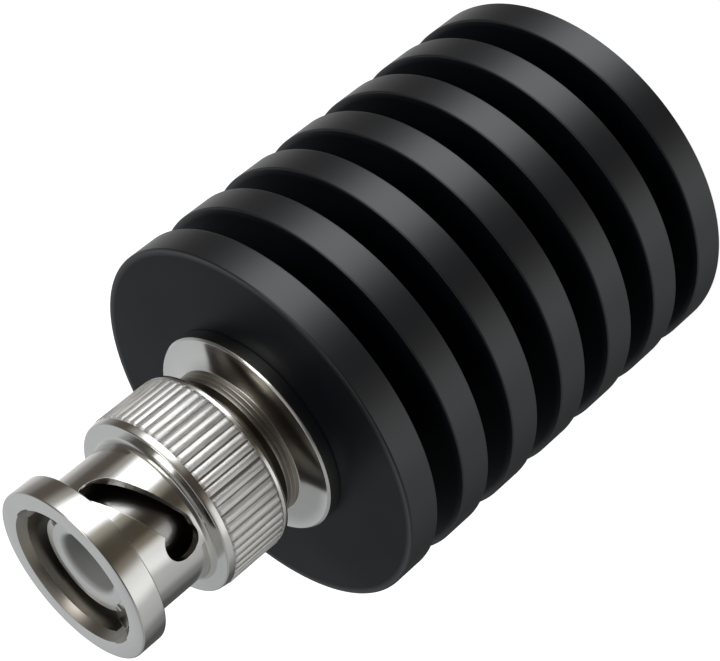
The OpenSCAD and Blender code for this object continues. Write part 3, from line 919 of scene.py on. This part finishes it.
class LOAD_OT_mouth(bpy.types.Operator):
    """Finish the contacts, insulators, gasket and washers inside the plug"""

    bl_idname = "load.mouth"
    bl_label = "Contacts and washers"

    def mouth_insulator(self, context):
        """The light disc with its round recess, which hides the pin's tip"""
        finish = context.scene.dummy_load.finish
        overlap = 0.04 * MM
        low, high, rim = BEAD_LOW.z, BEAD_HIGH.z, BEAD_HIGH.x + overlap
        recess, floor, hole = 2.35 * MM, low + 3.0 * MM, 0.725 * MM
        seat, seat_top = 1.225 * MM, low + 0.7 * MM
        lip = 0.4 * MM
        # Painted shade: the recess's wall and floor keep 0.56 of the disc's colour, rising to the full
        # colour across the rounded lip
        waxy = finish_material(
            "disc_plastic", finish.insulator, 0.0, (0.4, 0.5), shade=0.04, lines=5000.0, ring_bump=0.03,
            grain_bump=0.03, shaded=(recess, recess + lip, 0.56),
        )
        outline = [
            (seat, low, 0.0),
            (rim, low, 0.05 * MM),
            (rim, high, 0.02 * MM),
            (recess, high, lip),
            (recess, floor, 0.2 * MM),
            (hole, floor, 0.0),
            (hole, seat_top, 0.0),
            (seat, seat_top, 0.0),
        ]
        mesh = lathe("mouth_insulator", outline, context.scene.dummy_load.sink.segments)
        obj = piece("mouth_insulator", mesh, waxy)
        crisp(obj)
        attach(obj, "load")
        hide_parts("front_insulator")

    def execute(self, context):
        finish = context.scene.dummy_load.finish
        contact = finish_material(
            "contact_nickel", finish.satin_nickel, 1.0, (0.28, 0.36), ring_bump=0.06, grain_bump=0.04,
            edge=0.04 * MM,
        )
        waxy = finish_material(
            "insulator_plastic", finish.insulator, 0.0, (0.45, 0.55), shade=0.04, lines=5000.0,
            ring_bump=0.03, grain_bump=0.03,
        )
        gold = finish_material("pin_gold", finish.gold, 1.0, (0.16, 0.24), shade=0.06, edge=0.03 * MM)
        soft = finish_material(
            "gasket_rubber", finish.gasket, 0.0, (0.55, 0.7), ring_bump=0.02, grain_bump=0.25,
            grain_size=6000.0,
        )
        steel = spring_steel(finish)
        smooth_copy("plug_body", "plug_tube", nickel(finish), "load")
        sleeve = smooth_copy("outer_contact", "contact_sleeve", contact, "load")
        # The sleeve's side takes darker nickel as painted shade
        sleeve.data.materials.append(sleeve_side_painted_shade(finish))
        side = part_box("outer_contact")[1].x - 0.02 * MM
        for face in sleeve.data.polygons:
            face.material_index = int(face.center.xy.length > side)
        self.mouth_insulator(context)
        smooth_copy("rear_insulator", "stem_insulator", waxy, "load")
        smooth_copy("centre_pin", "plug_pin", gold, "load")
        smooth_copy("mating_gasket", "mouth_gasket", soft, "load")
        smooth_copy("thrust_washer", "flat_washer", steel, "thrust_washer")
        spring = smooth_copy("wave_washer", "spring_washer", steel, "load", 20.0)
        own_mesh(spring)
        return {"FINISHED"}


class LOAD_OT_resistor(bpy.types.Operator):
    """Finish the load resistor and its seat inside the heat sink"""

    bl_idname = "load.resistor"
    bl_label = "Load resistor"

    def execute(self, context):
        finish = context.scene.dummy_load.finish
        silver = finish_material("cap_silver", finish.silver, 1.0, (0.22, 0.32), edge=0.03 * MM)
        film = finish_material(
            "resistor_film", finish.film, 0.0, (0.4, 0.55), shade=0.25, lines=4000.0, ring_bump=0.25
        )
        white = finish_material(
            "ceramic_white", finish.ceramic, 0.0, (0.45, 0.6), shade=0.05, ring_bump=0.03, grain_bump=0.2
        )
        brass = finish_material("plug_brass", finish.brass, 1.0, (0.2, 0.3), lines=6000.0, ring_bump=0.3)
        dressed = {
            "resistor_front_cap": silver,
            "resistor_rear_cap": silver,
            "resistor_rod": film,
            "load_sleeve": white,
            "ground_plug": brass,
            "ground_spring": spring_steel(finish),
        }
        for node, material in dressed.items():
            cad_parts[node].data.materials.clear()
            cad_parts[node].data.materials.append(material)
        return {"FINISHED"}


class LOAD_OT_stage(bpy.types.Operator):
    """Set the floor, the light and the camera"""

    bl_idname = "load.stage"
    bl_label = "Stage"

    def floor(self, settings):
        bm = bmesh.new()
        reach, drop = 4.0, 0.02 * MM
        bmesh.ops.create_grid(bm, x_segments=1, y_segments=1, size=reach)
        bmesh.ops.translate(bm, verts=bm.verts, vec=(0.0, 0.0, -drop))
        material = bpy.data.materials.new("floor_white")
        material.use_nodes = True
        nodes, links = material.node_tree.nodes, material.node_tree.links
        shader = nodes["Principled BSDF"]
        fill(shader, {"Base Color": (0.8, 0.8, 0.8, 1.0), "Roughness": 0.9, "Specular IOR Level": 0.1})
        glow = nodes.new("ShaderNodeEmission")
        path = nodes.new("ShaderNodeLightPath")
        seen = math_node(nodes, "MAXIMUM")
        through = math_node(nodes, "MAXIMUM")
        level = math_node(nodes, "MULTIPLY", settings.floor_white)
        both = nodes.new("ShaderNodeAddShader")
        links.new(path.outputs["Is Camera Ray"], seen.inputs[0])
        links.new(path.outputs["Is Glossy Ray"], seen.inputs[1])
        links.new(seen.outputs[0], through.inputs[0])
        links.new(path.outputs["Is Transmission Ray"], through.inputs[1])
        links.new(through.outputs[0], level.inputs[0])
        links.new(level.outputs[0], glow.inputs["Strength"])
        links.new(shader.outputs[0], both.inputs[0])
        links.new(glow.outputs[0], both.inputs[1])
        links.new(both.outputs[0], nodes["Material Output"].inputs["Surface"])
        obj = piece("floor", made_mesh(bm, "floor"), material)
        obj.visible_glossy = False
        obj.visible_shadow = False

    def world(self):
        """White to the camera; to everything else a pale room with soft strips low round the object"""
        world = bpy.data.worlds.new("studio")
        bpy.context.scene.world = world
        world.use_nodes = True
        nodes, links = world.node_tree.nodes, world.node_tree.links
        room = nodes["Background"]
        white = nodes.new("ShaderNodeBackground")
        fill(white, {"Color": (1.0, 1.0, 1.0, 1.0)})
        path = nodes.new("ShaderNodeLightPath")
        pick = nodes.new("ShaderNodeMixShader")
        coords = nodes.new("ShaderNodeTexCoord")
        split = nodes.new("ShaderNodeSeparateXYZ")
        flip = math_node(nodes, "MULTIPLY", -1.0)
        face = nodes.new("ShaderNodeCombineXYZ")
        around = nodes.new("ShaderNodeTexGradient")
        around.gradient_type = "RADIAL"
        links.new(coords.outputs["Generated"], split.inputs[0])
        links.new(split.outputs["Y"], flip.inputs[0])
        links.new(flip.outputs[0], face.inputs["X"])
        links.new(split.outputs["X"], face.inputs["Y"])
        links.new(face.outputs[0], around.inputs["Vector"])

        def ring(stops):
            """Brightness round the horizon, as (degrees from the camera's side, colour)"""
            node = nodes.new("ShaderNodeValToRGB")
            node.color_ramp.interpolation = "EASE"
            node.color_ramp.elements[0].color = (*stops[0][1:], 1.0)
            node.color_ramp.elements[1].color = (*stops[-1][1:], 1.0)
            for degrees, r, g, b in stops[1:-1]:
                node.color_ramp.elements.new(degrees / 360.0 + 0.5).color = (r, g, b, 1.0)
            links.new(around.outputs["Fac"], node.inputs["Fac"])
            return node.outputs["Color"]

        def fade(low, high, below, above):
            """Passes from one colour to another between two heights of the direction"""
            share = map_range(nodes, low, high)
            share.interpolation_type = "SMOOTHSTEP"
            links.new(split.outputs["Z"], share.inputs["Value"])
            mix = colour_mix(nodes)
            links.new(share.outputs["Result"], mix.inputs["Factor"])
            for socket, value in ((mix.inputs["A"], below), (mix.inputs["B"], above)):
                if isinstance(value, tuple):
                    socket.default_value = (*value, 1.0)
                else:
                    links.new(value, socket)
            return mix.outputs["Result"]

        low_strips = ring(
            [
                (-180, 0.30, 0.29, 0.27), (-160, 0.09, 0.09, 0.087), (-140, 0.09, 0.09, 0.087),
                (-120, 0.23, 0.24, 0.24), (-100, 0.50, 0.51, 0.52), (-80, 0.58, 0.59, 0.59),
                (-62, 1.10, 1.12, 1.12), (-42, 0.96, 0.97, 0.96), (-27, 0.24, 0.21, 0.17),
                (-14, 0.075, 0.062, 0.047), (4, 0.075, 0.064, 0.05), (20, 0.38, 0.36, 0.30),
                (36, 2.78, 2.86, 2.95), (60, 2.78, 2.88, 2.96), (80, 0.40, 0.39, 0.36),
                (98, 0.11, 0.095, 0.08), (112, 0.12, 0.105, 0.09), (128, 0.30, 0.29, 0.28),
                (148, 0.64, 0.64, 0.64), (168, 0.85, 0.85, 0.85), (180, 0.30, 0.29, 0.27),
            ]
        )
        high_strips = ring(
            [
                (-180, 0.56, 0.58, 0.60), (-164, 0.35, 0.36, 0.37), (-135, 0.36, 0.37, 0.37),
                (-92, 0.44, 0.44, 0.42), (-74, 0.30, 0.30, 0.28), (-53, 0.07, 0.065, 0.06),
                (0, 0.06, 0.055, 0.05), (20, 0.22, 0.20, 0.18), (40, 0.46, 0.45, 0.41),
                (56, 0.48, 0.47, 0.43), (74, 0.26, 0.25, 0.22), (92, 0.11, 0.10, 0.09),
                (110, 0.13, 0.12, 0.11), (132, 0.42, 0.43, 0.43), (158, 0.60, 0.62, 0.63),
                (180, 0.56, 0.58, 0.60),
            ]
        )
        sides = fade(-0.16, 0.10, low_strips, high_strips)
        lit = fade(0.80, 0.98, sides, (0.55, 0.56, 0.57))
        links.new(fade(-0.98, -0.80, (0.10, 0.09, 0.08), lit), room.inputs["Color"])
        links.new(path.outputs["Is Camera Ray"], pick.inputs["Fac"])
        links.new(room.outputs[0], pick.inputs[1])
        links.new(white.outputs[0], pick.inputs[2])
        links.new(pick.outputs[0], nodes["World Output"].inputs["Surface"])

    def lamp(self, name, place, size, power):
        data = bpy.data.lights.new(name, "AREA")
        data.shape = "DISK"
        data.size = size
        data.energy = power
        obj = bpy.data.objects.new(name, data)
        bpy.context.scene.collection.objects.link(obj)
        obj.location = place
        middle = Vector((0.0, 0.0, 25.0 * MM))
        aim = middle - Vector(place)
        obj.rotation_euler = aim.to_track_quat("-Z", "Y").to_euler()

    def camera(self, settings):
        data = bpy.data.cameras.new("camera")
        data.lens = settings.lens
        data.sensor_width = 36.0
        data.shift_x = -0.7 / IMAGE_WIDTH
        data.shift_y = 0.6 / IMAGE_WIDTH
        data.clip_start = 0.005
        data.clip_end = 20.0
        obj = bpy.data.objects.new("camera", data)
        bpy.context.scene.collection.objects.link(obj)
        right = Vector((-0.63454, -0.37855, -0.67381))
        up = Vector((0.77286, -0.31081, -0.55322))
        back = Vector((0.0, -0.87181, 0.48983))
        place = Vector((0.00046, -0.14822, 0.10673))
        obj.matrix_world = Matrix(
            (
                (right.x, up.x, back.x, place.x),
                (right.y, up.y, back.y, place.y),
                (right.z, up.z, back.z, place.z),
                (0.0, 0.0, 0.0, 1.0),
            )
        )
        bpy.context.scene.camera = obj

    def execute(self, context):
        settings = context.scene.dummy_load.stage
        self.floor(settings)
        self.world()
        self.lamp("key_lamp", (0.22, -0.20, 0.34), 0.22, settings.key_power)
        self.camera(settings)
        context.scene.view_settings.view_transform = "Standard"
        return {"FINISHED"}


class LOAD_PT_panel(bpy.types.Panel):
    """Lists the steps that dress the load"""

    bl_label = "Dummy load"
    bl_idname = "LOAD_PT_panel"
    bl_space_type = "VIEW_3D"
    bl_region_type = "UI"
    bl_category = "Dummy load"

    def draw(self, context):
        for step in STEPS:
            self.layout.operator(step.bl_idname)
        for group in ("sink", "plug", "finish", "stage"):
            box = self.layout.box()
            settings = getattr(context.scene.dummy_load, group)
            for name in settings.bl_rna.properties.keys():
                if name not in ("rna_type", "name"):
                    box.prop(settings, name)


STEPS = (
    LOAD_OT_heat_sink, LOAD_OT_flange, LOAD_OT_nut_shell, LOAD_OT_knurl, LOAD_OT_mouth, LOAD_OT_resistor,
    LOAD_OT_stage,
)
CLASSES = (SinkSizes, PlugSizes, Finishes, StageSettings, DummyLoad, *STEPS, LOAD_PT_panel)


def register():
    for cls in CLASSES:
        bpy.utils.register_class(cls)
    bpy.types.Scene.dummy_load = PointerProperty(type=DummyLoad)


def unregister():
    del bpy.types.Scene.dummy_load
    for cls in reversed(CLASSES):
        bpy.utils.unregister_class(cls)


def main():
    register()
    bpy.ops.load.heat_sink()
    bpy.ops.load.flange()
    bpy.ops.load.nut_shell()
    bpy.ops.load.knurl()
    bpy.ops.load.mouth()
    bpy.ops.load.resistor()
    bpy.ops.load.stage()


if __name__ == "__main__":
    main()
